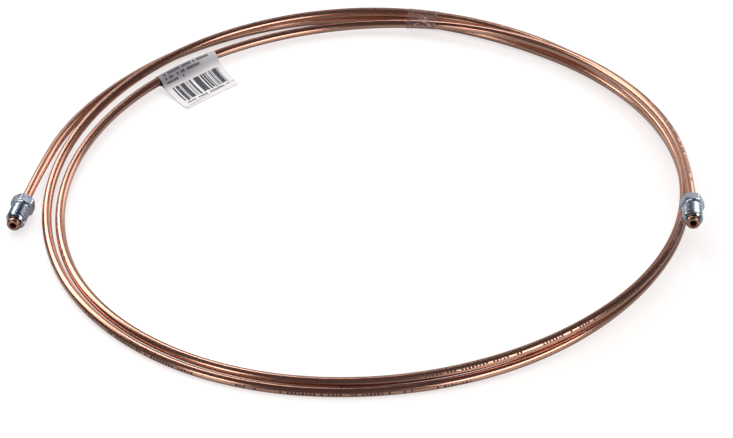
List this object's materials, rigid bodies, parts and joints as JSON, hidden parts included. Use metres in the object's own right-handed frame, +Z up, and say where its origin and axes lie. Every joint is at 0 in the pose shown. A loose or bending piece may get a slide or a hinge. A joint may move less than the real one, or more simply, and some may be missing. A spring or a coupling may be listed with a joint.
{
  "type": "copper tube coil",
  "caption": "Loose coil of flared copper brake pipe with a captive tube nut on each end, a paper flag label and clear tape.",
  "frame": {"origin": "on the floor, under the middle of the coil's bounding box", "axes": "+Z up out of the coil's plane; +X to the right in the picture, along the coil's longest extent; +Y away from the viewer"},
  "size_m": [0.3483, 0.3217, 0.0257],
  "materials": {
    "copper": "bright drawn copper, lightly oiled",
    "zinc_plate": "bright zinc plate",
    "paper": "smooth coated label stock",
    "clear_film": "clear glossy tape"
  },
  "bodies": {
    "coil": {"tube": "copper", "paper_flag": "paper", "clear_tape": "clear_film"},
    "left_nut": {"left_nut": "zinc_plate"},
    "right_nut": {"right_nut": "zinc_plate"}
  },
  "joints": [
    {"name": "left_nut_swivel", "type": "hinge", "parent": "coil", "child": "left_nut", "pos_m": [-0.16599, -0.01517, 0.00653], "axis": [-0.1994, -0.9799, 0], "continuous": true},
    {"name": "right_nut_swivel", "type": "hinge", "parent": "coil", "child": "right_nut", "pos_m": [0.16788, -0.03227, 0.01962], "axis": [-0.0435, -0.9966, 0.0698], "continuous": true}
  ]
}
